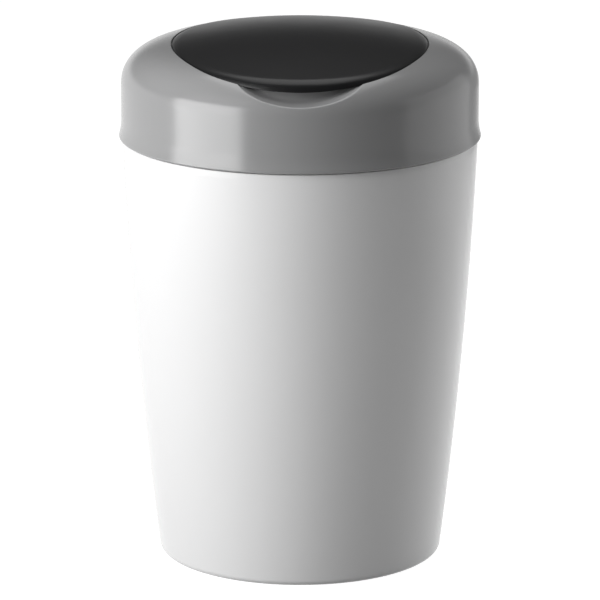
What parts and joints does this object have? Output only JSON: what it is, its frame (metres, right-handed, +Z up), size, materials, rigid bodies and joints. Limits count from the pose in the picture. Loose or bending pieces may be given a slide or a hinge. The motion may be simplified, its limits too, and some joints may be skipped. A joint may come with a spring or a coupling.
{
  "type": "nappy bin",
  "caption": "Tapered round nappy bin with a lift-off domed head, hinged oval lid, twist ring, film cassette and gripping fingers.",
  "frame": {"origin": "centre of the standing face on the floor", "axes": "+Z up, -Y towards the front where the finger scoop is, +X to the right seen from the back"},
  "size_m": [0.27, 0.27, 0.4016],
  "materials": {
    "white_plastic": "gloss",
    "grey_plastic": "gloss",
    "black_plastic": "gloss",
    "dark_inner_plastic": "satin",
    "pale_inner_plastic": "satin",
    "cassette_plastic": "satin",
    "film": "pleated thin film",
    "cutter_plastic": "gloss",
    "steel": "bright",
    "seal_rubber": "soft matt",
    "gripper_rubber": "soft matt"
  },
  "bodies": {
    "base": {"tub": "white_plastic", "tub_seal": "seal_rubber"},
    "carrier_unit": {"carrier": "pale_inner_plastic", "gripper": "gripper_rubber", "gripper_retainer": "pale_inner_plastic", "retainer_screws": "steel"},
    "turning_plate": {"turntable": "pale_inner_plastic"},
    "cassette": {"cassette_tray": "cassette_plastic", "cassette_cover": "cassette_plastic", "film_pack": "film"},
    "head": {"collar": "grey_plastic", "ring_retainer": "pale_inner_plastic", "ring_screws": "steel", "hinge_pin": "steel"},
    "ring": {"twist_ring": "pale_inner_plastic", "cutter_spring": "steel"},
    "cutter": {"cutter_button": "cutter_plastic", "cutter_blade": "steel"},
    "lid": {"lid_shell": "black_plastic", "lid_liner": "dark_inner_plastic", "lid_seal": "seal_rubber"}
  },
  "joints": [
    {"name": "head_lift", "type": "slide", "parent": "base", "child": "carrier_unit", "axis": [0, 0, 1], "range_m": [0, 0.07]},
    {"name": "collar_lift", "type": "slide", "parent": "carrier_unit", "child": "head", "axis": [0, 0, 1], "range_m": [0, 0.1]},
    {"name": "ring_spin", "type": "hinge", "parent": "head", "child": "ring", "pos_m": [0, 0, 0.365], "axis": [0, 0, 1], "continuous": true},
    {"name": "plate_spin", "type": "hinge", "parent": "carrier_unit", "child": "turning_plate", "pos_m": [0, 0, 0.317], "axis": [0, 0, 1], "continuous": true},
    {"name": "cassette_lift", "type": "slide", "parent": "turning_plate", "child": "cassette", "axis": [0, 0, 1], "range_m": [0, 0.05]},
    {"name": "cutter_press", "type": "slide", "parent": "ring", "child": "cutter", "axis": [0, 0, -1], "range_m": [0, 0.006], "stiffness_N_per_m": 400, "springref_m": -0.001, "deforming": ["cutter_spring"]},
    {"name": "lid_hinge", "type": "hinge", "parent": "head", "child": "lid", "pos_m": [0, 0.1182, 0.37969], "axis": [-1, 0, 0], "range_deg": [0, 100]}
  ],
  "couplings": [
    {"joint": "plate_spin", "follows": "ring_spin", "ratio": 1},
    {"joint": "cassette_lift", "follows": "collar_lift", "ratio": 0.5}
  ]
}
